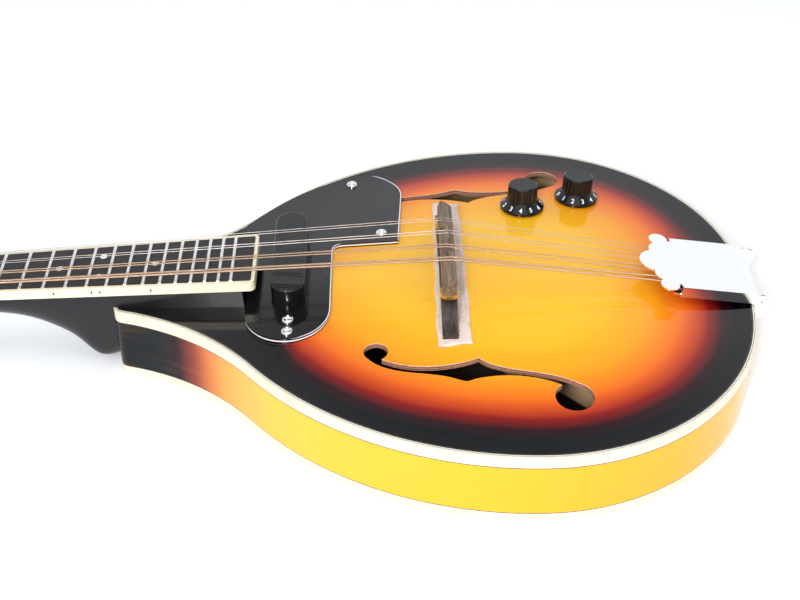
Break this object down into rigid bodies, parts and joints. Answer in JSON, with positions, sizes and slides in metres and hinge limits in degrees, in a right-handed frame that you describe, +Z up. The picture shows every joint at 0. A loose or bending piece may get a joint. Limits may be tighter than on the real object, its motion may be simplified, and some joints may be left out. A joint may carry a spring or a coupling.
{
  "type": "mandolin",
  "caption": "A-style electric mandolin with sunburst top, f-holes, adjustable bridge, geared tuners, pickguard pickup, two control knobs and a hinged tailpiece cover.",
  "frame": {"origin": "on the flat back, on the centre line, under the widest part of the body", "axes": "+X from the headstock to the tail, +Y to the treble side, +Z up out of the top"},
  "size_m": [0.6678, 0.2694, 0.0728],
  "materials": {
    "top_sunburst": "high-gloss sunburst lacquer, amber to black",
    "back_lacquer": "high-gloss red-brown lacquer",
    "side_sunburst": "high-gloss lacquer, amber shading to black at the neck",
    "bare_wood": "unfinished spruce and mahogany",
    "cream_binding": "cream celluloid under gloss lacquer",
    "black_purfling": "black fibre line under lacquer",
    "neck_lacquer": "black to dark red gloss lacquer",
    "rod_steel": "plated steel",
    "rosewood": "dark open-pored rosewood, satin",
    "fret_wire": "polished nickel silver",
    "pearl": "pearl dots",
    "black_plastic": "moulded black plastic",
    "bone": "polished bone",
    "head_black": "gloss black veneer",
    "guard_plastic": "gloss black ply with a white core",
    "chrome": "polished chrome plate",
    "bronze_string": "wound phosphor bronze",
    "steel_string": "plain tinned steel",
    "bridge_rosewood": "oiled rosewood, satin",
    "brass": "machined brass",
    "foam": "soft white packing foam",
    "coil": "wax-potted coil",
    "knob_plastic": "gloss black with white numerals",
    "tuner_button": "pearl-white plastic on plated steel"
  },
  "bodies": {
    "instrument": {"top_plate": "top_sunburst", "back_plate": "back_lacquer", "rim": "side_sunburst", "linings": "bare_wood", "neck_block": "bare_wood", "tail_block": "bare_wood", "braces": "bare_wood", "top_binding": "cream_binding", "back_binding": "cream_binding", "purfling": "black_purfling", "neck": "neck_lacquer", "truss_rod": "rod_steel", "fretboard": "rosewood", "fretboard_binding": "cream_binding", "neck_extension": "neck_lacquer", "frets": "fret_wire", "fret_markers": "pearl", "side_dots": "black_plastic", "nut": "bone", "headstock_veneer": "head_black", "truss_rod_cover": "guard_plastic", "headstock_screws": "chrome", "tuner_plates": "chrome", "post_bushings": "chrome", "wound_strings": "bronze_string", "plain_strings": "steel_string", "bridge_base": "bridge_rosewood", "bridge_studs": "brass", "foam_pad": "foam", "pickguard": "guard_plastic", "body_screws": "chrome", "pickup_cover": "black_plastic", "pickup_core": "coil", "potentiometers": "rod_steel", "tailpiece_base": "chrome", "output_jack": "chrome"},
    "bridge_saddle": {"bridge_saddle": "bridge_rosewood"},
    "thumbwheel_bass": {"thumbwheel_bass": "brass"},
    "thumbwheel_treble": {"thumbwheel_treble": "brass"},
    "volume_control": {"volume_knob": "knob_plastic", "volume_shaft": "rod_steel"},
    "tone_control": {"tone_knob": "knob_plastic", "tone_shaft": "rod_steel"},
    "tailpiece_cover": {"tailpiece_cover": "chrome"},
    "tuner_key_1": {"tuner_key_1": "tuner_button"},
    "tuner_post_1": {"tuner_post_1": "chrome"},
    "tuner_key_2": {"tuner_key_2": "tuner_button"},
    "tuner_post_2": {"tuner_post_2": "chrome"},
    "tuner_key_3": {"tuner_key_3": "tuner_button"},
    "tuner_post_3": {"tuner_post_3": "chrome"},
    "tuner_key_4": {"tuner_key_4": "tuner_button"},
    "tuner_post_4": {"tuner_post_4": "chrome"},
    "tuner_key_5": {"tuner_key_5": "tuner_button"},
    "tuner_post_5": {"tuner_post_5": "chrome"},
    "tuner_key_6": {"tuner_key_6": "tuner_button"},
    "tuner_post_6": {"tuner_post_6": "chrome"},
    "tuner_key_7": {"tuner_key_7": "tuner_button"},
    "tuner_post_7": {"tuner_post_7": "chrome"},
    "tuner_key_8": {"tuner_key_8": "tuner_button"},
    "tuner_post_8": {"tuner_post_8": "chrome"}
  },
  "joints": [
    {"name": "tuner_key_1_turn", "type": "hinge", "parent": "instrument", "child": "tuner_key_1", "pos_m": [-0.42103, -0.017, 0.01935], "axis": [0, -1, 0], "continuous": true},
    {"name": "tuner_post_1_turn", "type": "hinge", "parent": "instrument", "child": "tuner_post_1", "pos_m": [-0.43034, -0.017, 0.0336], "axis": [-0.1736, 0, 0.9848], "continuous": true},
    {"name": "tuner_key_2_turn", "type": "hinge", "parent": "instrument", "child": "tuner_key_2", "pos_m": [-0.44269, -0.017, 0.01553], "axis": [0, -1, 0], "continuous": true},
    {"name": "tuner_post_2_turn", "type": "hinge", "parent": "instrument", "child": "tuner_post_2", "pos_m": [-0.45201, -0.017, 0.02978], "axis": [-0.1736, 0, 0.9848], "continuous": true},
    {"name": "tuner_key_3_turn", "type": "hinge", "parent": "instrument", "child": "tuner_key_3", "pos_m": [-0.46436, -0.017, 0.01171], "axis": [0, -1, 0], "continuous": true},
    {"name": "tuner_post_3_turn", "type": "hinge", "parent": "instrument", "child": "tuner_post_3", "pos_m": [-0.47368, -0.017, 0.02596], "axis": [-0.1736, 0, 0.9848], "continuous": true},
    {"name": "tuner_key_4_turn", "type": "hinge", "parent": "instrument", "child": "tuner_key_4", "pos_m": [-0.48603, -0.017, 0.00789], "axis": [0, -1, 0], "continuous": true},
    {"name": "tuner_post_4_turn", "type": "hinge", "parent": "instrument", "child": "tuner_post_4", "pos_m": [-0.49534, -0.017, 0.02214], "axis": [-0.1736, 0, 0.9848], "continuous": true},
    {"name": "tuner_key_5_turn", "type": "hinge", "parent": "instrument", "child": "tuner_key_5", "pos_m": [-0.48603, 0.017, 0.00789], "axis": [0, 1, 0], "continuous": true},
    {"name": "tuner_post_5_turn", "type": "hinge", "parent": "instrument", "child": "tuner_post_5", "pos_m": [-0.49534, 0.017, 0.02214], "axis": [-0.1736, 0, 0.9848], "continuous": true},
    {"name": "tuner_key_6_turn", "type": "hinge", "parent": "instrument", "child": "tuner_key_6", "pos_m": [-0.46436, 0.017, 0.01171], "axis": [0, 1, 0], "continuous": true},
    {"name": "tuner_post_6_turn", "type": "hinge", "parent": "instrument", "child": "tuner_post_6", "pos_m": [-0.47368, 0.017, 0.02596], "axis": [-0.1736, 0, 0.9848], "continuous": true},
    {"name": "tuner_key_7_turn", "type": "hinge", "parent": "instrument", "child": "tuner_key_7", "pos_m": [-0.44269, 0.017, 0.01553], "axis": [0, 1, 0], "continuous": true},
    {"name": "tuner_post_7_turn", "type": "hinge", "parent": "instrument", "child": "tuner_post_7", "pos_m": [-0.45201, 0.017, 0.02978], "axis": [-0.1736, 0, 0.9848], "continuous": true},
    {"name": "tuner_key_8_turn", "type": "hinge", "parent": "instrument", "child": "tuner_key_8", "pos_m": [-0.42103, 0.017, 0.01935], "axis": [0, 1, 0], "continuous": true},
    {"name": "tuner_post_8_turn", "type": "hinge", "parent": "instrument", "child": "tuner_post_8", "pos_m": [-0.43034, 0.017, 0.0336], "axis": [-0.1736, 0, 0.9848], "continuous": true},
    {"name": "volume_turn", "type": "hinge", "parent": "instrument", "child": "volume_control", "pos_m": [0.0013, 0.0663, 0.04643], "axis": [0.002, 0.081, 0.9967], "range_deg": [-150, 150]},
    {"name": "tone_turn", "type": "hinge", "parent": "instrument", "child": "tone_control", "pos_m": [0.034, 0.078, 0.04475], "axis": [0.0391, 0.0714, 0.9967], "range_deg": [-150, 150]},
    {"name": "saddle_height", "type": "slide", "parent": "instrument", "child": "bridge_saddle", "axis": [0, 0, 1], "range_m": [-0.0015, 0]},
    {"name": "thumbwheel_bass_turn", "type": "hinge", "parent": "bridge_saddle", "child": "thumbwheel_bass", "pos_m": [-0.0453, -0.031, 0.0612], "axis": [0, 0, 1], "range_deg": [-771.44, 0]},
    {"name": "thumbwheel_treble_turn", "type": "hinge", "parent": "bridge_saddle", "child": "thumbwheel_treble", "pos_m": [-0.0453, 0.031, 0.0612], "axis": [0, 0, 1], "range_deg": [-771.44, 0]},
    {"name": "tailpiece_cover_lift", "type": "hinge", "parent": "instrument", "child": "tailpiece_cover", "pos_m": [0.1227, 0, 0.0442], "axis": [0, 1, 0], "range_deg": [0, 100]}
  ],
  "couplings": [
    {"joint": "tuner_post_1_turn", "follows": "tuner_key_1_turn", "ratio": 0.066667},
    {"joint": "tuner_post_2_turn", "follows": "tuner_key_2_turn", "ratio": 0.066667},
    {"joint": "tuner_post_3_turn", "follows": "tuner_key_3_turn", "ratio": 0.066667},
    {"joint": "tuner_post_4_turn", "follows": "tuner_key_4_turn", "ratio": 0.066667},
    {"joint": "tuner_post_5_turn", "follows": "tuner_key_5_turn", "ratio": -0.066667},
    {"joint": "tuner_post_6_turn", "follows": "tuner_key_6_turn", "ratio": -0.066667},
    {"joint": "tuner_post_7_turn", "follows": "tuner_key_7_turn", "ratio": -0.066667},
    {"joint": "tuner_post_8_turn", "follows": "tuner_key_8_turn", "ratio": -0.066667},
    {"joint": "thumbwheel_bass_turn", "follows": "saddle_height", "rad_per_m": 8976},
    {"joint": "thumbwheel_treble_turn", "follows": "saddle_height", "rad_per_m": 8976}
  ]
}
